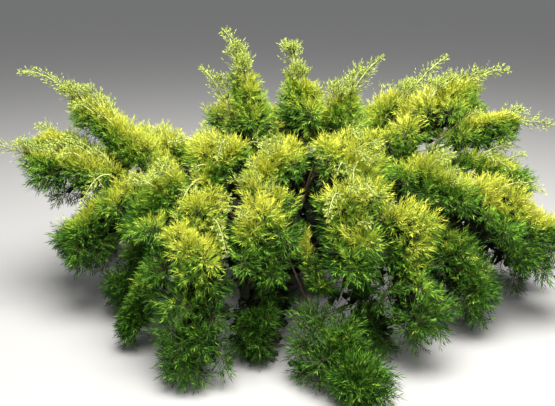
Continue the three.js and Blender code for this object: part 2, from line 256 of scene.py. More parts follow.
def limb(azimuth, ring, fork, lean, **sizes):
    plumes = {name: plume(*own) for name, own in sizes.items()}
    return dict(azimuth=azimuth, ring=ring, fork=fork, lean=lean, plumes=plumes)


LIMBS = {
    "left": limb(
        178, "low", (0.31, 0.31), 24,
        left_long=(183, 0.96, 0.56, -0.02, 0.22, 0.14),
        left_low=(195, 0.64, 0.28, 0.13, 0.24),
        left_whip=(167, 0.97, 0.765, 0.2, 0.2, 0.34),
        left_mid=(174, 0.8, 0.51, 0.05, 0.21),
        left_under=(176, 0.68, 0.22, 0.1, 0.23),
    ),
    "front_left": limb(
        228, "high", (0.24, 0.3), 30,
        front_left_hump=(216, 0.47, 0.4, 0.14, 0.22),
        front_left_curtain=(249, 0.66, 0.08, 0.3, 0.26),
        front_left_low=(225, 0.64, 0.07, 0.11, 0.11),
        front_left_under=(205, 0.52, 0.12, 0.09, 0.24),
    ),
    "front": limb(
        270, "low", (0.2, 0.27), 34,
        front_hump=(262, 0.48, 0.35, 0.15, 0.28),
        front_inner=(284, 0.48, 0.21, 0.09, 0.26),
        # front_under fills the hollow under the front humps; so low and covered, its needles are dealt the
        # darkest greens, which stand there as painted shade.
        front_under=(263, 0.49, 0.08, -0.05, 0.3),
        front_ground=(286, 0.79, 0.07, -0.15, 0.25, 0.0, 0.6),
    ),
    "front_right": limb(
        312, "high", (0.27, 0.3), 30,
        front_right_hump=(294, 0.52, 0.34, 0.16, 0.28),
        front_right_gold=(309, 0.62, 0.21, 0.18, 0.28),
        # front_right_under fills the hollow beside it, dealt the darkest greens as painted shade too.
        front_right_under=(302, 0.54, 0.08, 0.08, 0.24),
    ),
    "right_front": limb(
        345, "low", (0.3, 0.29), 24,
        right_front_low=(333, 0.68, 0.16, 0.15, 0.23),
        right_gold=(348, 0.86, 0.29, 0.13, 0.25),
        right_inner=(340, 0.59, 0.43, 0.12, 0.22),
    ),
    "right": limb(
        13, "high", (0.31, 0.33), 32,
        right_upper_mid=(24, 0.74, 0.61, 0.12, 0.3),
        right_low=(3, 0.84, 0.17, 0.12, 0.25),
        right_mid=(3, 0.8, 0.42, 0.11, 0.22),
        right_whip=(10, 1.065, 0.56, 0.2, 0.26, 0.22),
        right_upper_whip=(20, 0.93, 0.755, 0.2, 0.31, 0.28),
    ),
    "back_right": limb(
        41, "low", (0.3, 0.33), 32,
        back_right_low=(32, 0.74, 0.14, 0.14, 0.29),
        back_right_mid=(50, 0.78, 0.34, 0.13, 0.2),
        back_right_whip=(31, 0.76, 0.8, 0.09, 0.27, 0.34),
        back_right_under=(57, 0.72, 0.13, 0.11, 0.3),
    ),
    "back": limb(
        80, "high", (0.28, 0.34), 32,
        back_low=(81, 0.72, 0.13, 0.15, 0.3),
        back_mid_right=(70, 0.69, 0.44, 0.14, 0.19),
        back_mid_left=(95, 0.73, 0.4, 0.14, 0.21),
    ),
    "back_left": limb(
        116, "low", (0.29, 0.32), 28,
        back_left_low=(105, 0.72, 0.13, 0.15, 0.3),
        back_left_mid=(120, 0.77, 0.33, 0.1, 0.19),
        left_back_low=(129, 0.73, 0.14, 0.14, 0.3),
    ),
    "left_back": limb(
        150, "high", (0.29, 0.35), 34,
        left_back_mid=(147, 0.79, 0.37, 0.15, 0.2),
        left_back_top=(156, 0.64, 0.41, 0.08, 0.18),
        left_back_under=(151, 0.74, 0.16, 0.13, 0.29),
    ),
    "crown_left": limb(
        170, "top", (0.06, 0.36), 76,
        crown_left_whip=(146, 0.225, 0.915, 0.2, 0.23, 0.38),
        crown_side_whip=(157, 0.29, 0.79, 0.12, 0.16, 0.44),
        crown_front_left=(226, 0.34, 0.45, 0.17, 0.22),
        crown_back_left=(118, 0.35, 0.6, 0.09, 0.2),
    ),
    "crown_right": limb(
        10, "top", (0.095, 0.355), 74,
        crown_middle_whip=(80, 0.13, 0.87, 0.2, 0.26, 0.35),
        crown_right_whip=(14, 0.375, 0.83, 0.13, 0.22, 0.36),
        crown_front=(262, 0.27, 0.48, 0.15, 0.21),
        crown_front_right=(312, 0.4, 0.47, 0.15, 0.23),
        crown_back_right=(52, 0.37, 0.56, 0.11, 0.19),
    ),
}
print("plan:", len(LIMBS), "limbs,", sum(len(spec["plumes"]) for spec in LIMBS.values()), "plumes")

# %% [markdown]
# ## Curves
# A limb leaves the stem at a set slope and arrives at its fork at another, which is what a cubic Bezier curve
# does with its two handles. Plumes start side by side at the fork, leave it the way the limb ends, and arch
# over to their tips. The curves are worked out for whole arrays of points at once, because thousands of twigs
# will be set on them.

# %% Work out the limbs' and the plumes' curves
UP = np.array([0.0, 0.0, 1.0])
BACKWARDS = np.array([0.0, 1.0, 0.0])
STEEP = 0.97
GOLDEN_ANGLE = math.pi * (3 - math.sqrt(5))
GOLDEN_SHARE = (math.sqrt(5) - 1) / 2


def between(low, high, share):
    return low + (high - low) * share


def joined(parts):
    """The columns of several parts, each laid end to end."""
    return [np.concatenate(column) for column in zip(*parts)]


def unit(vectors):
    return vectors / np.maximum(np.linalg.norm(vectors, axis=-1, keepdims=True), 1e-9)


def polar(azimuth, reach, height):
    a = math.radians(azimuth)
    return np.array([reach * math.cos(a), reach * math.sin(a), height])


def bezier(controls, share):
    """Points of cubic curves: controls are (..., 4, 3) and share is (...)."""
    t = np.asarray(share)[..., None]
    a, b, c, d = (controls[..., k, :] for k in range(4))
    return (1 - t) ** 3 * a + 3 * (1 - t) ** 2 * t * b + 3 * (1 - t) * t**2 * c + t**3 * d


def bezier_forward(controls, share):
    t = np.asarray(share)[..., None]
    a, b, c, d = (controls[..., k, :] for k in range(4))
    return unit((1 - t) ** 2 * (b - a) + 2 * (1 - t) * t * (c - b) + t**2 * (d - c))


def across(forward):
    """Two directions square to each forward direction and to each other."""
    steady = np.where(np.abs(forward[..., 2:]) > STEEP, BACKWARDS, UP)
    side = unit(np.cross(forward, steady))
    return side, unit(np.cross(forward, side))


def outward(forward, turn):
    side, over = across(forward)
    turn = np.asarray(turn)[..., None]
    return side * np.cos(turn) + over * np.sin(turn)


def limb_controls(spec):
    ring = RINGS[spec["ring"]]
    azimuth = spec["azimuth"]
    start = polar(azimuth, ring["inset"], ring["height"])
    end = polar(azimuth, *spec["fork"])
    length = np.linalg.norm(end - start)
    rise = math.radians(ring["rise"])
    lean = math.radians(spec["lean"])
    rising = polar(azimuth, math.cos(rise), math.sin(rise))
    leaving = polar(azimuth, math.cos(lean), math.sin(lean))
    return np.array([
        start,
        start + rising * length * LIMB["foot_handle"],
        end - leaving * length * LIMB["fork_handle"],
        end,
    ])


def plumes_of(controls, spec):
    """The plumes of one limb, set round its fork in the order of the ways they go."""
    forward = bezier_forward(controls, 1.0)
    side, over = across(forward)
    entries = []
    for name, form in spec["plumes"].items():
        tip = polar(form["azimuth"], form["reach"], form["tip"])
        away = tip - controls[3]
        entries.append(dict(form, name=name, end=tip, turn=math.atan2(away @ over, away @ side)))
    entries.sort(key=lambda entry: entry["turn"])
    step = 2 * math.pi / len(entries)
    first = sum(entry["turn"] - k * step for k, entry in enumerate(entries)) / len(entries)
    ring_radius = PLUME_STEM["spacing"] / (2 * math.sin(step / 2))
    for k, entry in enumerate(entries):
        start = controls[3] + forward * GAP + outward(forward, first + k * step) * ring_radius
        span = np.linalg.norm(entry["end"] - start)
        shoulder = start + (entry["end"] - start) * PLUME_STEM["shoulder"] + UP * entry["arch"]
        leaving = start + forward * span * PLUME_STEM["foot_handle"]
        entry.update(span=span, controls=np.array([start, leaving, shoulder, entry["end"]]))
    return entries


LIMB_CONTROLS = np.array([limb_controls(spec) for spec in LIMBS.values()])
PLUMES = [entry for own, spec in zip(LIMB_CONTROLS, LIMBS.values()) for entry in plumes_of(own, spec)]
CONTROLS, GIRTH, WHIP, BARE, SPAN = (
    np.array([entry[key] for entry in PLUMES]) for key in ("controls", "girth", "whip", "bare", "span")
)
print("plume stems:", round(SPAN.sum(), 1), "m in all")

# %% [markdown]
# ## Each plume's own space
# Neighbouring plumes share the light: each fills the room that is nearer to its own stem than to any other,
# out to an envelope that opens from the foot, is widest in the middle and closes towards the tip. A point can
# be tested against every curve with nested loops, but one table of distances from all points to samples of
# all curves is hundreds of times faster in arrays.

# %% Test points against the plumes' spaces
SAMPLES = 41
CHUNK = 12000
CELL_MARGIN = 0.006
GROUND_CLEARANCE = 0.006
OPENING = dict(foot=0.6, rate=2, least=0.1)
WHIP_ROOM = 0.034
BLUNTNESS = 0.5
ROUNDNESS = 6
WHIP_ROUNDNESS = 1.6
SAG = 0.5
LUMPS = dict(waves=7, shortest=0.11, longest=0.24, depth=0.18)
ROOM_STEP = 0.008
BOX_ROOM = 0.010
LEAST_DISTANCE = 0.001

sample_shares = np.linspace(0, 1, SAMPLES)
plume_shares = np.tile(sample_shares, (len(PLUMES), 1))
PLUME_LINES = bezier(CONTROLS[:, None], plume_shares)
PLUME_TOPS = -across(bezier_forward(CONTROLS[:, None], plume_shares))[1]
LIMB_LINES = bezier(LIMB_CONTROLS[:, None], np.tile(sample_shares, (len(LIMBS), 1)))
LIMB_RADII = np.array([RINGS[spec["ring"]]["radius"] for spec in LIMBS.values()])


def distances(points, lines):
    """The distance from each point to each line, and the nearest sample on it."""
    corners = lines.reshape(-1, 3)
    squared = (points**2).sum(1)[:, None] + (corners**2).sum(1)[None] - 2 * points @ corners.T
    squared = squared.reshape(len(points), len(lines), SAMPLES)
    return np.sqrt(np.maximum(squared.min(2), 0)), squared.argmin(2)


wave = np.arange(LUMPS["waves"])
LUMP_PHASES = wave * GOLDEN_SHARE % 1
climb = 1 - (wave + 0.5) / LUMPS["waves"]
turn = wave * GOLDEN_ANGLE
LUMP_WAYS = np.stack([np.cos(turn), np.sin(turn), climb / np.sqrt(1 - climb**2)], 1)
LUMP_WAYS = unit(LUMP_WAYS) / between(LUMPS["shortest"], LUMPS["longest"], LUMP_PHASES)[:, None]


def lumps(points):
    """A smooth unevenness, as of foliage that grows in lumps, about 1 on the average."""
    waves = np.sin(2 * math.pi * (points @ LUMP_WAYS.T + LUMP_PHASES))
    return 1 + LUMPS["depth"] * waves.sum(1) / math.sqrt(LUMPS["waves"] / 2)


def envelope(owner, share, rise):
    """How far sprays may stand from their plume's stem."""
    along = np.minimum(1, share / (1 - WHIP[owner]))
    opening = np.clip(OPENING["foot"] + OPENING["rate"] * (along - BARE[owner]), OPENING["least"], 1)
    tip = np.where(WHIP[owner] > 0, WHIP_ROOM, GIRTH[owner] * BLUNTNESS)
    closing = along ** np.where(WHIP[owner] > 0, WHIP_ROUNDNESS, ROUNDNESS)
    body = GIRTH[owner] * opening * np.sqrt(np.maximum(0, 1 - closing))
    return np.maximum(tip, body) * (1 - SAG * rise)


def place_in_plume(points, owner):
    """For each point: its distance from its plume's stem over the envelope there, whether it is in its own
    plume's space, how far it lies towards the stem's upper side, and how steeply it lies above the stem."""
    rows = np.arange(len(points))
    away, nearest = distances(points, PLUME_LINES)
    mine = away[rows, owner]
    spot = PLUME_LINES[owner, nearest[rows, owner]]
    apart = np.maximum(mine, LEAST_DISTANCE)
    rise = (points[:, 2] - spot[:, 2]) / apart
    top = ((points - spot) * PLUME_TOPS[owner, nearest[rows, owner]]).sum(1) / apart
    filled = mine / (envelope(owner, sample_shares[nearest[rows, owner]], rise) * lumps(points))
    lead = away / GIRTH - (mine / GIRTH[owner])[:, None]
    lead[rows, owner] = np.inf
    own_cell = (lead > CELL_MARGIN * (1 / GIRTH + (1 / GIRTH[owner])[:, None])).all(1)
    off_limbs = (distances(points, LIMB_LINES)[0] > LIMB_RADII + CELL_MARGIN).all(1)
    lowest, highest = np.array(FRAME_BOX)
    in_box = ((points > lowest - BOX_ROOM) & (points < highest + BOX_ROOM)).all(1)
    inside = (filled < 1) & own_cell & off_limbs & in_box & (points[:, 2] > GROUND_CLEARANCE)
    return filled, inside, top, rise


def in_chunks(points, owner):
    """place_in_plume for any number of points."""
    starts = range(0, len(points), CHUNK)
    parts = [place_in_plume(points[k : k + CHUNK], owner[k : k + CHUNK]) for k in starts]
    return joined(parts)


def along_shoot(foot, direction, curl, distance):
    """A point of a shoot that turns up a little on its way."""
    distance = np.asarray(distance)[..., None]
    return foot + direction * distance + UP * np.asarray(curl)[..., None] * distance**2


def room_for(owner, foot, direction, curl, most):
    """How far each shoot can grow before it leaves its plume's space."""
    room = np.zeros(len(foot))
    growing = np.arange(len(foot))
    for distance in np.arange(ROOM_STEP, most.max() + ROOM_STEP, ROOM_STEP):
        growing = growing[most[growing] >= distance]
        if len(growing) == 0:
            break
        tips = along_shoot(foot[growing], direction[growing], curl, np.full(len(growing), distance))
        growing = growing[in_chunks(tips, owner[growing])[1]]
        room[growing] = distance
    return room


# %% [markdown]
# ## Bark
# The bark of an old spreading conifer peels in long strips, so a limb looks fluted along its length. A plain
# tube with a bump would look smooth at its edge. Here each limb is extruded ring by ring, some lengthwise
# strips of it are pushed out, and a subdivision and a fine displacement finish the relief.

# %% Helpers for the stem and the limbs
BARK = dict(
    sides=16, strips=9, strip_depth=0.07, sides_between=2, shortest_strip=2, knobs=0.0022, knob_size=0.011,
    smoothing=2,
)
rng = np.random.default_rng(SEED)
knob_texture = bpy.data.textures.new("bark_knobs", "CLOUDS")
knob_texture.noise_scale = BARK["knob_size"]


def places_of(mesh):
    places = np.empty(len(mesh.vertices) * 3)
    mesh.vertices.foreach_get("co", places)
    return places.reshape(-1, 3)


def extruded(name, centres, leans, radii):
    """A limb in the plane of X and Z: a filled circle, extruded, turned and narrowed ring by ring."""
    bpy.ops.object.select_all(action="DESELECT")
    bpy.ops.mesh.primitive_circle_add(
        vertices=BARK["sides"], radius=radii[0], fill_type="NGON",
        location=centres[0], rotation=(0, math.pi / 2 - leans[0], 0),
    )
    piece = bpy.context.object
    piece.name = name
    piece.data.name = name
    bpy.ops.object.transform_apply(location=True, rotation=True, scale=True)
    bpy.ops.object.mode_set(mode="EDIT")
    bpy.ops.mesh.select_all(action="SELECT")
    for k in range(1, len(centres)):
        middle = tuple(centres[k])
        step = tuple(centres[k] - centres[k - 1])
        bend = leans[k] - leans[k - 1]
        narrower = radii[k] / radii[k - 1]
        bpy.ops.mesh.extrude_region_move(TRANSFORM_OT_translate={"value": step})
        bpy.ops.transform.rotate(value=bend, orient_axis="Y", orient_type="GLOBAL", center_override=middle)
        bpy.ops.transform.resize(value=(narrower, narrower, narrower), center_override=middle)
    bpy.ops.mesh.select_all(action="SELECT")
    bpy.ops.mesh.normals_make_consistent(inside=False)
    bpy.ops.object.mode_set(mode="OBJECT")
    return piece


def select_vertices(mesh, chosen):
    mesh.vertices.foreach_set("select", chosen)
    mesh.edges.foreach_set("select", np.zeros(len(mesh.edges), bool))
    mesh.polygons.foreach_set("select", np.zeros(len(mesh.polygons), bool))


def add_bark_strips(piece, rings, radius):
    """Pushes out strips of bark, each a few rings long and one side wide."""
    sides = BARK["sides"]
    ring, side = np.divmod(np.arange(rings * sides), sides)
    bpy.ops.object.mode_set(mode="EDIT")
    bpy.ops.mesh.select_mode(type="VERT")
    for strip in range(BARK["strips"]):
        bpy.ops.object.mode_set(mode="OBJECT")
        first = rng.integers(1, max(2, rings - 3))
        last = first + rng.integers(BARK["shortest_strip"], rings)
        own_side = (strip * BARK["sides_between"]) % sides
        select_vertices(piece.data, (side == own_side) & (ring >= first) & (ring <= last))
        bpy.ops.object.mode_set(mode="EDIT")
        bpy.ops.transform.shrink_fatten(value=radius * BARK["strip_depth"] * (1 + rng.random()))
    bpy.ops.object.mode_set(mode="OBJECT")


def finish_bark(piece):
    """Smooths the rings and adds fine knobs, then applies both."""
    smoothing = piece.modifiers.new("smoothing", "SUBSURF")
    smoothing.levels = BARK["smoothing"]
    smoothing.render_levels = BARK["smoothing"]
    knobs = piece.modifiers.new("knobs", "DISPLACE")
    knobs.texture = knob_texture
    knobs.texture_coords = "LOCAL"
    knobs.strength = BARK["knobs"]
    bpy.ops.object.modifier_apply(modifier="smoothing")
    bpy.ops.object.modifier_apply(modifier="knobs")
    bpy.ops.object.shade_smooth()


def map_along(piece, centres):
    """A UV map that follows the limb: U goes once round it, and V is the length along it in metres."""
    mesh = piece.data
    places = places_of(mesh)
    steps = np.linalg.norm(np.diff(centres, axis=0), axis=1)
    lengths = np.concatenate([[0], np.cumsum(steps)])
    nearest = np.linalg.norm(places[:, None] - centres[None], axis=2).argmin(1)
    forward = unit(np.gradient(centres, axis=0))[nearest]
    off = places - centres[nearest]
    length = lengths[nearest] + (off * forward).sum(1)
    turn = np.arctan2(off[:, 1], (off * np.cross(forward, BACKWARDS)).sum(1)) / (2 * math.pi) + 0.5
    corner = np.empty(len(mesh.loops), int)
    mesh.loops.foreach_get("vertex_index", corner)
    starts = np.empty(len(mesh.polygons), int)
    mesh.polygons.foreach_get("loop_start", starts)
    u = turn[corner]
    widest = np.maximum.reduceat(u, starts)
    sizes = np.diff(np.append(starts, len(corner)))
    u = np.where(np.repeat(widest, sizes) - u > 0.5, u + 1, u)
    layer = mesh.uv_layers.new(name="along")
    layer.data.foreach_set("uv", np.stack([u, length[corner]], 1).ravel())


# %% [markdown]
# ## The stem and the limbs
# The stem is short and hidden, with a root flare that ends in a flat cut at the ground. Each limb is made in
# the plane of X and Z, where its bends are simple turns about Y, and is then turned to its own azimuth.

# %% Make the stem and the limbs
LIMB_RINGS = 10
FLARE_LOBES = 1.07
SIDES_A_LOBE = 4


def make_stem():
    radii, heights = np.array(STEM_PROFILE).T
    centres = np.stack([0 * heights, 0 * heights, heights], 1)
    piece = extruded("stem_bark", centres, np.full(len(heights), math.pi / 2), radii)
    number = np.arange(len(piece.data.vertices))
    select_vertices(piece.data, (number < BARK["sides"]) & (number % SIDES_A_LOBE == 0))
    bpy.ops.object.mode_set(mode="EDIT")
    bpy.ops.transform.resize(value=(FLARE_LOBES, FLARE_LOBES, 1), center_override=(0, 0, 0))
    bpy.ops.object.mode_set(mode="OBJECT")
    add_bark_strips(piece, len(heights), radii[2])
    finish_bark(piece)
    places = places_of(piece.data)
    places[:, 2] = np.maximum(places[:, 2], 0)
    piece.data.vertices.foreach_set("co", places.ravel())
    map_along(piece, centres)
    return piece


def make_limb(name, spec):
    flat = dict(spec, azimuth=0)
    controls = limb_controls(flat)
    shares = np.linspace(0, 1, LIMB_RINGS)
    centres = bezier(controls[None], shares)
    forward = bezier_forward(controls[None], shares)
    leans = np.arctan2(forward[:, 2], forward[:, 0])
    thick = RINGS[spec["ring"]]["radius"]
    radii = thick + (LIMB["fork_radius"] - thick) * shares ** LIMB["taper"]
    piece = extruded("bark_" + name, centres, leans, radii)
    add_bark_strips(piece, LIMB_RINGS, thick)
    finish_bark(piece)
    map_along(piece, centres)
    piece.rotation_euler[2] = math.radians(spec["azimuth"])
    bpy.ops.object.transform_apply(location=True, rotation=True, scale=True)
    return piece


stem_piece = make_stem()
limb_pieces = {name: make_limb(name, spec) for name, spec in LIMBS.items()}
print("bark:", 1 + len(limb_pieces), "pieces")

# %% [markdown]
# ## Twigs
# Twigs stand round a plume's stem by the golden angle, as they do on most conifers, so that no two shade each
# other. A second row stands close together along the top of the stem and makes the plume's crest. Twigs lean
# further forwards towards the tip, turn up a little, and stop a tuft's radius short of the edge of their
# plume's space. A particle system could scatter them, but it would not know the spaces, and nothing of it
# would be left in an exported model.

# %% Lay twigs on the plumes
TO_THE_TOP = -math.pi / 2
TWIGS = dict(first=0.05, last=0.97, forward_at_foot=0.2, forward_at_tip=0.9, curl=0.5, least_room=0.026)
FLANK = dict(per_metre=106, spread=0.3)
CREST = dict(per_metre=30, spread=0.4)
LEADERS = dict(count=9, share=(0.9, 0.97), forward=(1.5, 4.0), reach=0.9)
TUFT = dict(
    share_of_room=0.62, smallest=0.022, largest=0.066, uneven=(0.8, 1.15), off_edge=(0.9, 1.2),
    least_twig=0.2,
)


def drawn(limits, shape):
    """Random numbers between two limits."""
    return between(*limits, rng.random(shape))


def numbered(count):
    """For groups of these sizes, laid end to end: each item's group, and its number in the group."""
    parent = np.repeat(np.arange(len(count)), count)
    return parent, np.arange(len(parent)) - np.repeat(np.cumsum(count) - count, count)


def row_of_twigs(k, per_metre, turn_at):
    """The share, turn and forward lean of a row of twigs along plume k."""
    body = 1 - WHIP[k]
    count = round(per_metre * SPAN[k] * (body - BARE[k]))
    along = (np.arange(count) + rng.random(count)) / count
    share = body * between(max(TWIGS["first"], BARE[k]), TWIGS["last"], along)
    forward = between(TWIGS["forward_at_foot"], TWIGS["forward_at_tip"], along)
    return share, turn_at(np.arange(count)), forward


def twig_starts(k):
    """The owner, share, turn, forward lean and reach of each twig of plume k."""
    flank, crest = FLANK["spread"], CREST["spread"]
    rows = [
        row_of_twigs(k, FLANK["per_metre"], lambda i: i * GOLDEN_ANGLE + rng.normal(0, flank, len(i))),
        row_of_twigs(k, CREST["per_metre"], lambda i: TO_THE_TOP + rng.normal(0, crest, len(i))),
    ]
    if WHIP[k] == 0:
        chance = rng.random((2, LEADERS["count"]))
        turns = np.arange(LEADERS["count"]) * GOLDEN_ANGLE
        leaning = between(*LEADERS["forward"], chance[1])
        rows.append((between(*LEADERS["share"], chance[0]), turns, leaning))
    share, turn, forward = joined(rows)
    reach = GIRTH[k] * np.where(forward > TWIGS["forward_at_tip"], LEADERS["reach"], np.hypot(1, forward))
    return np.full(len(share), k), share, turn, forward, reach


owner, share, turn, forward, reach = joined(twig_starts(k) for k in range(len(PLUMES)))
axis = bezier_forward(CONTROLS[owner], share)
twigs = dict(
    owner=owner,
    foot=bezier(CONTROLS[owner], share),
    direction=unit(outward(axis, turn) + axis * forward[:, None]),
)
room = room_for(owner, twigs["foot"], twigs["direction"], TWIGS["curl"], reach)
radius = np.clip(room * TUFT["share_of_room"], TUFT["smallest"], TUFT["largest"])
twigs["radius"] = radius * drawn(TUFT["uneven"], len(room))
off_edge = twigs["radius"] * drawn(TUFT["off_edge"], len(room))
twigs["length"] = np.maximum(room - off_edge, room * TUFT["least_twig"])
kept = room > TWIGS["least_room"]
twigs = {key: column[kept] for key, column in twigs.items()}
print("twigs:", len(twigs["length"]), "mean length", round(twigs["length"].mean(), 3))

# %% [markdown]
# ## Tufts of shoots
# A twig ends in a round tuft, about as wide as a fist: its leafy shoots fan out over the best part of a ball
# round the twig's end. Turning each shoot on from the last by the golden angle, in equal steps of height,
# spreads any number of them evenly over a ball.

# %% Fan shoots out of the twigs' ends
SHOOTS = dict(
    each=40, least_each=12, fewer_by=1.5, behind=-0.4, loose=0.5, spread=0.25, start_back=0.45,
    uneven=(0.85, 1.1), curl=1.0, least=0.010,
)


def shoots_on(twigs):
    """The shoots of each tuft: the first one carries the twig on, and the last ones lean back."""
    full = SHOOTS["each"] * (twigs["radius"] / TUFT["largest"]) ** SHOOTS["fewer_by"]
    count = np.maximum(np.round(full), SHOOTS["least_each"]).astype(int)
    parent, order = numbered(count)
    loose = SHOOTS["loose"] * rng.random(len(order))
    ahead = between(1.0, SHOOTS["behind"], (order + loose) / count[parent])
    turn = order * GOLDEN_ANGLE + rng.normal(0, SHOOTS["spread"], len(order))
    length = twigs["length"][parent]
    radius = twigs["radius"][parent]
    direction = twigs["direction"][parent]
    heading = unit(direction + UP * (2 * TWIGS["curl"] * length)[:, None])
    centre = along_shoot(twigs["foot"][parent], direction, TWIGS["curl"], length)
    back = np.minimum(radius * SHOOTS["start_back"] * (1 - ahead), length)
    sideways = outward(heading, turn) * np.sqrt(1 - ahead**2)[:, None]
    return dict(
        owner=twigs["owner"][parent],
        foot=centre - heading * back[:, None],
        direction=unit(sideways + heading * ahead[:, None]),
        wanted=radius * drawn(SHOOTS["uneven"], len(order)),
    )


shoots = shoots_on(twigs)
wanted = shoots.pop("wanted")
room = room_for(shoots["owner"], shoots["foot"], shoots["direction"], SHOOTS["curl"], wanted)
shoots["length"] = room
kept = room > SHOOTS["least"]
shoots = {key: column[kept] for key, column in shoots.items()}
shoots["tip"] = along_shoot(shoots["foot"], shoots["direction"], SHOOTS["curl"], shoots["length"])
print("shoots:", len(shoots["length"]), "mean length", round(shoots["length"].mean(), 3))

# %% [markdown]
# ## Light inside the crown
# Colour follows light here. Tips that see the sky are gold, the plant's own colour with painted light on it,
# the layer behind them is lime, and what lies deep in the crown is dark green or dry, darkened further as
# painted shade. To deal the colours out, each shoot is asked how deep it lies behind the crown's outer skin,
# seen from above and from eight slanting directions. A lower ring of directions finds the shoots that nobody
# can see, which need few needles. Some plumes are dealt more gold than their neighbours, and a few less.

# %% Measure how much sky each shoot sees
FLUSH = dict(finer=1.2, elsewhere=27.6, strength=2.2, least=0.45, most=1.4)
PLUME_GOLD_SHARE = dict(
    right_gold=1.7, left_long=1.3, front_hump=1.25, front_right_hump=1.2, right_mid=1.2,
    right_inner=0.5, front_left_hump=0.6, left_low=0.75,
)
SKY = dict(cell=0.034, above=0.065, slanting=0.075, ring=8, slant=math.radians(38), low_slant=math.radians(8))
GOLD = dict(crest=0.64, spine=0.28)
GREEN = dict(everywhere=0.10, lifted=0.17, lofty=0.34, noise=0.03)
RAMPS = dict(crest=(0.22, 0.62), spine=(0.80, 0.15), lifted=(0.13, 0.21), lofty=(0.45, 0.25))


def depth_seen_from(points, towards):
    """How far behind the outermost points each point lies, seen from one direction."""
    side, over = across(towards[None])
    cells = np.floor(np.stack([points @ side[0], points @ over[0]], 1) / SKY["cell"]).astype(int)
    cells -= cells.min(0)
    key = cells[:, 0] * (cells[:, 1].max() + 1) + cells[:, 1]
    height = points @ towards
    skin = np.full(key.max() + 1, -np.inf)
    np.maximum.at(skin, key, height)
    return skin[key] - height


def ring_depths(points, slant, first):
    azimuths = first + 360 * np.arange(SKY["ring"]) / SKY["ring"]
    ways = [polar(azimuth, math.cos(slant), math.sin(slant)) for azimuth in azimuths]
    return np.array([depth_seen_from(points, way) for way in ways])


def ramp(name, values):
    """0 up to the ramp's start, 1 from its width above that, and even in between."""
    start, width = RAMPS[name]
    return np.clip((values - start) / width, 0, 1)


from_above = depth_seen_from(shoots["tip"], UP)
slanting = ring_depths(shoots["tip"], SKY["slant"], 0)
low = ring_depths(shoots["tip"], SKY["low_slant"], 180 / SKY["ring"])
light_above = np.exp(-from_above / SKY["above"])
light_round = np.exp(-slanting / SKY["slanting"]).mean(0)
nearest_skin = np.minimum(np.minimum(from_above, slanting.min(0)), low.min(0))
_, _, top, rise = in_chunks(shoots["tip"], shoots["owner"])
flush = 1 + (lumps(shoots["tip"] * FLUSH["finer"] + FLUSH["elsewhere"]) - 1) * FLUSH["strength"]
# Gold on crests that turn up and along the tops of the stems, where the sky is seen: the plant's own gold,
# brighter there as painted light.
golden = GOLD["crest"] * ramp("crest", rise) * light_above
golden += GOLD["spine"] * ramp("spine", top) * np.sqrt(light_round)
golden *= np.array([PLUME_GOLD_SHARE.get(entry["name"], 1.0) for entry in PLUMES])[shoots["owner"]]
# Greens lighter where a shoot stands high and sees the sky round about, darker low down and deep inside, and
# gold fades out near the ground: painted light and painted shade.
lifted = ramp("lifted", shoots["tip"][:, 2])
lofty = ramp("lofty", shoots["tip"][:, 2])
score = (GREEN["everywhere"] + GREEN["lifted"] * lifted + GREEN["lofty"] * lofty) * light_round
score += golden * lifted * np.clip(flush, FLUSH["least"], FLUSH["most"])
score += rng.normal(0, GREEN["noise"], len(score))
print("depth behind the skin:", np.round(np.quantile(nearest_skin, np.linspace(0, 1, 11)), 3))
print("score:", np.round(np.quantile(score, np.linspace(0, 1, 11)), 2))

# %% [markdown]
# ## Needles
# What reads as a needle here is a fine branchlet wrapped in scale leaves, 1 to 3 cm long and under 3 mm wide.
# Each is a keeled blade of two faces, with its root on its shoot. They fan out forwards along the shoot,
# longer at its foot than at its tip, and the last one carries the shoot on. Arrays make all of them at once.

# %% Set needles along the shoots
NEEDLES = dict(
    most=16, first=0.25, lean=(0.8, 2.0), last_lean=30.0, spread=0.4, longest=0.026, shortest=0.018,
    uneven=(0.75, 1.25), full_shoot=0.036, on_short=0.7, on_long=1.05, wide=0.0026, keel=0.35,
    widest_at=0.38, skin=0.01, hidden_depth=0.0165, hidden_share=0.016, least_shown=0.015,
    foot_shade=0.45, noise=0.09,
)


def needles_on(shoots, score, share_kept, most):
    count = len(shoots["length"])
    place = (np.arange(most)[None] + rng.random((count, most))) / most
    along = between(NEEDLES["first"], 1.0, place)
    along[:, -1] = 1.0
    distance = along * shoots["length"][:, None]
    foot = along_shoot(shoots["foot"][:, None], shoots["direction"][:, None], SHOOTS["curl"], distance)
    heading = unit(shoots["direction"][:, None] + UP * (2 * SHOOTS["curl"] * distance)[..., None])
    turn = GOLDEN_ANGLE * np.arange(most) + rng.random((count, 1)) * 2 * math.pi
    turn = turn + rng.normal(0, NEEDLES["spread"], (count, most))
    lean = between(*NEEDLES["lean"], along)
    lean[:, -1] = NEEDLES["last_lean"]
    direction = unit(outward(heading, turn) + heading * lean[..., None])
    size = between(NEEDLES["longest"], NEEDLES["shortest"], along)
    size *= drawn(NEEDLES["uneven"], (count, most))
    fullness = shoots["length"][:, None] / NEEDLES["full_shoot"]
    size *= np.clip(fullness, NEEDLES["on_short"], NEEDLES["on_long"])
    tip = foot + direction * size[..., None]
    kept = (rng.random((count, most)) < share_kept[:, None]) & (tip[..., 2] > GROUND_CLEARANCE)
    shade = score[:, None] * between(NEEDLES["foot_shade"], 1.0, along)
    shade = shade + rng.normal(0, NEEDLES["noise"], (count, most))
    return foot[kept], tip[kept], shade[kept]


shown = np.exp(-np.maximum(nearest_skin - NEEDLES["skin"], 0) / NEEDLES["hidden_depth"])
seen = shown > NEEDLES["least_shown"]
needle_foot, needle_tip, shade = needles_on(
    shoots, score, np.maximum(shown, NEEDLES["hidden_share"]), NEEDLES["most"]
)
print("needles:", len(needle_foot))
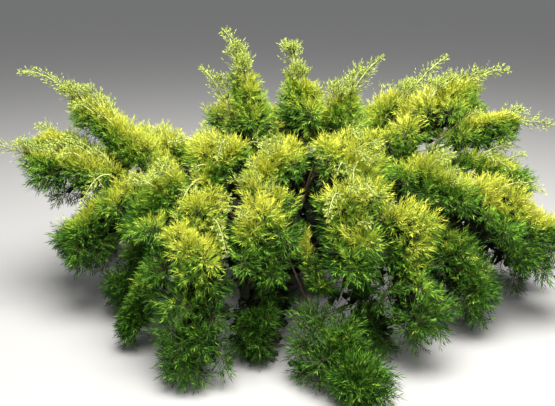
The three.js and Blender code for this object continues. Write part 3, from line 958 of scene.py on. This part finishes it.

# %% [markdown]
# ## Dry sprays inside
# Behind the green skin, where no light comes, the sprays of past years hang on dry. They are flat and
# toothed, and they close the plume, so that no one looks through it. More of them hang from the limbs. Their
# near-black colour is painted shade, darker than dry foliage is.

# %% Set dry sprays along the inner twigs and the limbs
DRY = dict(
    on_twig=9, least_twig=0.05, last=0.85, long=0.085, wide=0.42, lean=0.6, deepest=0.6, uneven=(0.6, 1.1),
    on_limb=60, limb_part=(0.2, 0.97), limb_uneven=(0.8, 1.6),
)


def dry_directions(heading, lean):
    turn = rng.random(heading.shape[:-1]) * 2 * math.pi
    return unit(outward(heading, turn) + heading * lean)


def dry_on_twigs(chosen):
    length, direction, start = (twigs[key][chosen] for key in ("length", "direction", "foot"))
    along = DRY["last"] * rng.random((len(length), DRY["on_twig"]))
    distance = along * length[:, None]
    foot = along_shoot(start[:, None], direction[:, None], TWIGS["curl"], distance)
    heading = np.broadcast_to(direction[:, None], foot.shape)
    owner = np.repeat(twigs["owner"][chosen], DRY["on_twig"])
    return foot.reshape(-1, 3), dry_directions(heading, DRY["lean"]).reshape(-1, 3), owner


def dry_on_limbs():
    share = drawn(DRY["limb_part"], (len(LIMBS), DRY["on_limb"]))
    foot = bezier(LIMB_CONTROLS[:, None], share)
    direction = dry_directions(bezier_forward(LIMB_CONTROLS[:, None], share), 0.0)
    return foot.reshape(-1, 3), direction.reshape(-1, 3)


def dry_tips(foot, direction, uneven):
    return foot + direction * (DRY["long"] * drawn(uneven, len(foot)))[:, None]


def dry_sprays():
    foot, direction, owner = dry_on_twigs(twigs["length"] > DRY["least_twig"])
    tip = dry_tips(foot, direction, DRY["uneven"])
    filled, inside, _, _ = in_chunks(tip, owner)
    kept = inside & (filled < DRY["deepest"])
    limb_foot, limb_direction = dry_on_limbs()
    limb_tip = dry_tips(limb_foot, limb_direction, DRY["limb_uneven"])
    foot = np.concatenate([foot[kept], limb_foot])
    tip = np.concatenate([tip[kept], limb_tip])
    above = tip[:, 2] > GROUND_CLEARANCE
    return foot[above], tip[above]


dry_foot, dry_tip = dry_sprays()
print("dry sprays:", len(dry_foot))

# %% [markdown]
# ## Whips
# The longest shoots run out past the plumes as nodding whips: a pale, arching axis with short side shoots
# that point forwards. They draw the outline of the plant against the sky. Shorter ones, the leading shoots of
# this year, rise out of the upper plumes, and a few long ones arch over the front. Each of those starts a
# little inside the edge of its plume, because a shoot with its foot in the air would look stuck on.

# %% Grow the whips
WHIP_SIDES = dict(
    per_metre=190, least=4, forward=1.1, longest=0.058, shortest=0.014, uneven=(0.6, 1.15), loose=0.6,
    spread=0.3, needles=8, start=0.85, needle_share=0.6, needle_width=0.9,
)
LEADING = dict(
    each=7, on_whips=16, above=0.30, part=(0.4, 0.97), free=(0.03, 0.17), climb=(0.6, 1.8), sideways=0.5,
    droop=(2.5, 5.0), search=0.3, rooted=0.045, loose=0.5, sides_from=0.35,
)
# The share of the plume's stem, the azimuth, the climb, the free length and the droop of each
ARCHING = dict(
    left_long=(0.72, 185, 60, 0.15, 3.2),
    left_mid=(0.60, -20, 50, 0.11, 4.5),
    front_left_hump=(0.45, -20, 50, 0.15, 3.6),
    front_left_curtain=(0.50, -70, 40, 0.18, 3.6),
    crown_front_left=(0.60, -30, 50, 0.11, 4.5),
    crown_front=(0.50, -15, 45, 0.26, 2.4),
    front_right_hump=(0.60, -20, 50, 0.16, 3.6),
    front_right_gold=(0.50, -140, 40, 0.18, 3.4),
    right_gold=(0.70, -20, 45, 0.15, 3.4),
)


def sides_of(start, axis, along, turn):
    """Side shoots on whips: short towards the tip, where along is 1."""
    direction = unit(outward(axis, turn) + axis * WHIP_SIDES["forward"])
    length = between(WHIP_SIDES["longest"], WHIP_SIDES["shortest"], np.clip(along, 0, 1))
    length = length * drawn(WHIP_SIDES["uneven"], len(length))
    tip = along_shoot(start, direction, SHOOTS["curl"], length)
    return dict(foot=start, direction=direction, length=length, tip=tip)


def whip_sides():
    """The side shoots of the long whips, along the ends of their plumes' stems."""
    rows = []
    for k in np.flatnonzero(WHIP):
        body = (1 - WHIP[k]) * WHIP_SIDES["start"]
        count = round(WHIP_SIDES["per_metre"] * SPAN[k] * (1 - body))
        places = (np.arange(count) + WHIP_SIDES["loose"] * rng.random(count)) / count
        turns = np.arange(count) * GOLDEN_ANGLE + rng.normal(0, WHIP_SIDES["spread"], count)
        rows.append((np.full(count, k), between(body, 1.0, places), turns))
    owner, share, turn = joined(rows)
    along = (share - (1 - WHIP[owner])) / WHIP[owner]
    return sides_of(bezier(CONTROLS[owner], share), bezier_forward(CONTROLS[owner], share), along, turn)


def rooted_shoots(owner, share, direction, free, droop):
    """Shoots that root just inside the edge of their plume: where they start, which way they go, how long
    they are, how they droop, and how much of each is hidden."""
    foot = bezier(CONTROLS[owner], share)
    room = room_for(owner, foot, direction, 0.0, np.full(len(owner), LEADING["search"]))
    rooted = np.minimum(room, LEADING["rooted"])
    return foot + direction * (room - rooted)[:, None], direction, rooted + free, droop, rooted


def leading_shoots():
    """Many short shoots, on the upper plumes."""
    high = np.array([k for k, entry in enumerate(PLUMES) if entry["tip"] > LEADING["above"]])
    owner = np.repeat(high, np.where(WHIP[high] > 0, LEADING["on_whips"], LEADING["each"]))
    share = (1 - WHIP[owner]) * drawn(LEADING["part"], len(owner))
    axis = bezier_forward(CONTROLS[owner], share)
    climb = drawn(LEADING["climb"], len(owner))
    sideways = np.cross(axis, UP) * rng.normal(0, LEADING["sideways"], len(owner))[:, None]
    direction = unit(axis + UP * climb[:, None] + sideways)
    free = between(*LEADING["free"], rng.random(len(owner)) ** 2)
    droop = drawn(LEADING["droop"], len(owner))
    return rooted_shoots(owner, share, direction, free, droop)


def arching_shoots():
    """A few long shoots at set places."""
    named = {entry["name"]: k for k, entry in enumerate(PLUMES)}
    owner = np.array([named[name] for name in ARCHING])
    share, azimuth, climb, free, droop = np.array(list(ARCHING.values())).T
    climbs = np.radians(climb)
    direction = np.array([polar(a, math.cos(c), math.sin(c)) for a, c in zip(azimuth, climbs)])
    return rooted_shoots(owner, share, direction, free, droop)


def sides_of_leading(foot, direction, length, droop, bare):
    """Side shoots along the free part of the leading shoots."""
    full = WHIP_SIDES["per_metre"] * (length - bare)
    count = np.maximum(np.round(full), WHIP_SIDES["least"]).astype(int)
    parent, order = numbered(count)
    along = (order + LEADING["loose"] * rng.random(len(order))) / count[parent]
    distance = bare[parent] + along * (length - bare)[parent]
    start = along_shoot(foot[parent], direction[parent], -droop[parent], distance)
    axis = unit(direction[parent] - UP * (2 * droop[parent] * distance)[:, None])
    return sides_of(start, axis, between(LEADING["sides_from"], 1.0, along), order * GOLDEN_ANGLE + parent)


leading = joined([leading_shoots(), arching_shoots()])
sides = [whip_sides(), sides_of_leading(*leading)]
whips = {key: np.concatenate([part[key] for part in sides]) for key in sides[0]}
full = np.ones(len(whips["length"]))
whip_foot, whip_tip, _ = needles_on(whips, full, full, WHIP_SIDES["needles"])
whip_tip = whip_foot + (whip_tip - whip_foot) * WHIP_SIDES["needle_share"]
print("whips:", np.count_nonzero(WHIP), "long and", len(leading[0]), "short, with", len(whip_foot), "needles")

# %% [markdown]
# ## From arrays to meshes
# Blender takes a mesh as flat arrays: every vertex, the corners of every face, and where each face starts.
# A needle is a blade folded along its keel, a dry spray is a flat blade with four teeth, and a twig is a
# three-sided tube along its curve.


# %% Build meshes from arrays
def mesh_piece(name, vertices, faces):
    """A mesh object. faces is a list of arrays, each with one row of corners for each face."""
    mesh = bpy.data.meshes.new(name)
    mesh.vertices.add(len(vertices))
    mesh.vertices.foreach_set("co", np.ascontiguousarray(vertices, np.float32).ravel())
    corners = np.concatenate([block.ravel() for block in faces])
    sizes = np.concatenate([np.full(len(block), block.shape[1]) for block in faces])
    mesh.loops.add(len(corners))
    mesh.loops.foreach_set("vertex_index", corners.astype(np.int32))
    mesh.polygons.add(len(sizes))
    mesh.polygons.foreach_set("loop_start", (np.cumsum(sizes) - sizes).astype(np.int32))
    mesh.update(calc_edges=True)
    piece = bpy.data.objects.new(name, mesh)
    scene.collection.objects.link(piece)
    return piece


def blades(name, foot, tip, width, outline, pattern, keel=0.0):
    """One blade for each foot and tip. The outline's corners are in shares of its length and half width."""
    along, sideways = np.array(outline).T
    reach = tip - foot
    forward = unit(reach)
    side = outward(forward, rng.random(len(foot)) * 2 * math.pi)
    normal = np.cross(side, forward)
    half = np.broadcast_to(width, len(foot))[:, None, None] / 2
    vertices = foot[:, None] + reach[:, None] * along[:, None]
    vertices = vertices + side[:, None] * sideways[:, None] * half
    vertices = vertices - normal[:, None] * np.abs(sideways)[:, None] * half * keel
    faces = (np.arange(len(foot)) * len(outline))[:, None, None] + np.array(pattern)
    return mesh_piece(name, vertices.reshape(-1, 3), [faces.reshape(-1, 3)])


def needle_blades(name, foot, tip, width):
    widest = NEEDLES["widest_at"]
    outline = [(0, 0), (widest, 1), (1, 0), (widest, -1)]
    return blades(name, foot, tip, width, outline, [[0, 1, 2], [0, 2, 3]], NEEDLES["keel"])


def toothed_blades(name, foot, tip, width):
    outline = [(0, 0), (0.5, 1), (0.48, 0.3), (0.85, 0.75), (1, 0), (0.85, -0.75), (0.48, -0.3), (0.5, -1)]
    pattern = [[0, 1, 2], [2, 3, 4], [0, 2, 4], [0, 4, 6], [4, 5, 6], [0, 6, 7]]
    return blades(name, foot, tip, width, outline, pattern)


def tubes(name, paths, radii, sides):
    """One closed tube for each path: paths are (n, rings, 3) and radii (n, rings)."""
    n, rings = radii.shape
    forward = unit(np.gradient(paths, axis=1))
    turns = np.arange(sides) * 2 * math.pi / sides
    spread = outward(forward[:, :, None], np.broadcast_to(turns, (n, rings, sides)))
    vertices = (paths[:, :, None] + spread * radii[:, :, None, None]).reshape(-1, 3)
    index = np.arange(n * rings * sides).reshape(n, rings, sides)
    ahead = np.roll(index, -1, axis=2)
    sleeve = np.stack([index[:, :-1], index[:, 1:], ahead[:, 1:], ahead[:, :-1]], -1)
    caps = [index[:, 0], index[:, -1, ::-1]]
    return mesh_piece(name, vertices, [sleeve.reshape(-1, 4), *caps])


# %% [markdown]
# ## Wood of the plumes
# The plumes' stems taper to their tips. Twigs and shoots are thin, and mostly seen where the foliage opens,
# but without them the needles would hang in the air.

# %% Make the plume stems, twigs and shoots
STEM_RADII = (PLUME_STEM["radius"], PLUME_STEM["tip_radius"])
PLUME_TUBES = dict(rings=25, sides=6)
WHIP_TUBES = dict(rings=9, sides=6, thicker=0.0003)
LEADING_TUBES = dict(rings=9, sides=5, radii=(0.0030, 0.0010))
TWIG_TUBES = dict(rings=3, sides=3, radii=(0.0021, 0.0009))
SHOOT_WIDTH = 0.003


def rings_for(form, count):
    return np.tile(np.linspace(0, 1, form["rings"]), (count, 1))


def shoot_tubes(name, form, foot, direction, curl, length):
    """Tapering tubes along shoots that start at a foot."""
    shares = rings_for(form, len(length))
    paths = along_shoot(foot[:, None], direction[:, None], curl, shares * length[:, None])
    return tubes(name, paths, between(*form["radii"], shares), form["sides"])


ring_shares = rings_for(PLUME_TUBES, len(PLUMES))
plume_paths = bezier(CONTROLS[:, None], ring_shares)
plume_stems = tubes("plume_stems", plume_paths, between(*STEM_RADII, ring_shares), PLUME_TUBES["sides"])

long_whips = np.flatnonzero(WHIP)
ring_shares = np.linspace(1 - WHIP[long_whips], 1, WHIP_TUBES["rings"], axis=1)
whip_paths = bezier(CONTROLS[long_whips][:, None], ring_shares)
whip_radii = between(*STEM_RADII, ring_shares) + WHIP_TUBES["thicker"]
whip_stems = tubes("whip_stems", whip_paths, whip_radii, WHIP_TUBES["sides"])

foot, direction, length, droop, _ = leading
leading_stems = shoot_tubes("leading_stems", LEADING_TUBES, foot, direction, -droop[:, None], length)
foot, direction, length = (twigs[key] for key in ("foot", "direction", "length"))
twig_piece = shoot_tubes("twigs", TWIG_TUBES, foot, direction, TWIGS["curl"], length)
shoot_piece = needle_blades(
    "shoots",
    np.concatenate([shoots["foot"][seen], whips["foot"]]),
    np.concatenate([shoots["tip"][seen], whips["tip"]]),
    SHOOT_WIDTH,
)
wood = (plume_stems, whip_stems, leading_stems, twig_piece, shoot_piece)
print("wood: triangles", [sum(len(p.vertices) - 2 for p in piece.data.polygons) for piece in wood])

# %% [markdown]
# ## Colours, dealt out by spray
# Each needle goes to the piece whose colour its place in the light calls for, so the gold lies on the ridges
# and tips and the deep green under them. The darker pieces are painted shade, and the brightest gold is the
# plant's own gold with painted light on it. The colours are plain ones: a pattern painted across a hundred
# thousand needles would be lost in an exported model, and pieces of one colour are not.

# %% Deal the needles into pieces
# From the first piece to the last: painted shade, then greens, then the plant's gold with painted light on
# it.
COLOURS = {
    "needles_dark": dict(above=-9, colour=(0.013, 0.046, 0.005)),
    "needles_shade": dict(above=0.01, colour=(0.026, 0.090, 0.008)),
    "needles_deep": dict(above=0.05, colour=(0.052, 0.160, 0.012)),
    "needles_green": dict(above=0.10, colour=(0.100, 0.260, 0.020)),
    "needles_lime": dict(above=0.18, colour=(0.205, 0.390, 0.032)),
    "needles_lemon": dict(above=0.28, colour=(0.370, 0.500, 0.050)),
    "needles_gold": dict(above=0.44, colour=(0.530, 0.570, 0.052)),
    "needles_pale_gold": dict(above=0.74, colour=(0.680, 0.700, 0.085)),
}
WHIP_COLOUR = (0.52, 0.60, 0.12)
# Near-black for the dry sprays: painted shade, darker than dry foliage is.
DRY_AND_SHADE_COLOUR = (0.012, 0.015, 0.007)

limits = [form["above"] for form in COLOURS.values()]
kind = np.searchsorted(limits, shade) - 1
pieces = {}
for k, name in enumerate(COLOURS):
    chosen = kind == k
    pieces[name] = needle_blades(name, needle_foot[chosen], needle_tip[chosen], NEEDLES["wide"])
    print(name, np.count_nonzero(chosen) * 2, "triangles")
pieces["needles_dry"] = toothed_blades("needles_dry", dry_foot, dry_tip, DRY["long"] * DRY["wide"])
whip_width = NEEDLES["wide"] * WHIP_SIDES["needle_width"]
pieces["needles_whip"] = needle_blades("needles_whip", whip_foot, whip_tip, whip_width)

# %% [markdown]
# ## Finishes
# A needle is waxy: it has a soft highlight and no bump that shows at this size. Bark is dull, with fine
# strips that follow the limb, so its pattern reads the map that goes round and along it.

# %% Make the finishes
FOLIAGE = dict(roughness=0.6, mottle_scale=55, mottle=0.72)
TWIG_PATCHES = 18
BARK_LOOK = dict(stretch=(9, 22, 1), scale=1.6, detail=6, depth=0.002, strength=0.8)
BARK_STOPS = [
    (0.3, (0.035, 0.022, 0.016, 1)),
    (0.5, (0.15, 0.09, 0.058, 1)),
    (0.72, (0.30, 0.23, 0.17, 1)),
]
WOOD_LOOKS = {
    "plume_stems": dict(name="plume_wood", young=(0.10, 0.075, 0.03), old=(0.035, 0.028, 0.014)),
    "twigs": dict(name="twig_wood", young=(0.12, 0.10, 0.035), old=(0.05, 0.04, 0.018)),
    "shoots": dict(name="shoot_wood", young=(0.10, 0.17, 0.03), old=(0.07, 0.08, 0.02)),
    "whip_stems": dict(name="whip_stems", young=(0.52, 0.56, 0.20), old=(0.34, 0.36, 0.10)),
    "leading_stems": dict(name="leading_stems", young=(0.52, 0.56, 0.20), old=(0.34, 0.36, 0.10)),
}


def foliage_finish(name, colour):
    finish = Finish(name, Roughness=FOLIAGE["roughness"], Specular_IOR_Level=0.1)
    shaded = 1 - finish.noise(finish.object_place(), FOLIAGE["mottle_scale"])
    darker = tuple(part * FOLIAGE["mottle"] for part in colour)
    finish.feed("Base Color", finish.mix(shaded, (*colour, 1), (*darker, 1)))
    return finish.material


def bark_finish():
    finish = Finish("bark", Roughness=0.9, Specular_IOR_Level=0.2)
    along = finish.node("ShaderNodeUVMap", "UV", {"uv_map": "along"})
    stretched = finish.node("ShaderNodeMapping", "Vector", {}, Vector=along, Scale=BARK_LOOK["stretch"])
    strips = finish.noise(stretched, BARK_LOOK["scale"], detail=BARK_LOOK["detail"])
    finish.feed("Base Color", finish.node("ShaderNodeValToRGB", "Color", {"stops": BARK_STOPS}, Fac=strips))
    relief = BARK_LOOK["depth"] * strips
    strength = BARK_LOOK["strength"]
    bump = finish.node("ShaderNodeBump", "Normal", {}, Height=relief, Strength=strength, Distance=1.0)
    finish.feed("Normal", bump)
    return finish.material


def twig_finish(name, young, old):
    finish = Finish(name, Roughness=0.8, Specular_IOR_Level=0.25)
    patches = finish.noise(finish.object_place(), TWIG_PATCHES)
    finish.feed("Base Color", finish.mix(patches, (*old, 1), (*young, 1)))
    return finish.material


bark = bark_finish()
for piece in (stem_piece, *limb_pieces.values()):
    piece.data.materials.append(bark)
for piece in wood:
    piece.data.materials.append(twig_finish(**WOOD_LOOKS[piece.name]))
needle_colours = {name: form["colour"] for name, form in COLOURS.items()}
needle_colours.update(needles_dry=DRY_AND_SHADE_COLOUR, needles_whip=WHIP_COLOUR)
for name, colour in needle_colours.items():
    pieces[name].data.materials.append(foliage_finish(name, colour))

# %% [markdown]
# ## Hand the pieces to the frame
# The plant has one body and nothing on it moves by itself. The bark pieces stand for the solid stem and
# limbs, and the needles, twigs and shoots together stand for the foliage solids.

# %% Ride and replace
foliage_nodes = ["foliage_" + entry["name"] for entry in PLUMES]
for piece in (*wood, *pieces.values()):
    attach(piece, BODY)
    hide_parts(*foliage_nodes)
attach(stem_piece, BODY)
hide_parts("stem")
for name, piece in limb_pieces.items():
    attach(piece, BODY)
    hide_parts("limb_" + name)
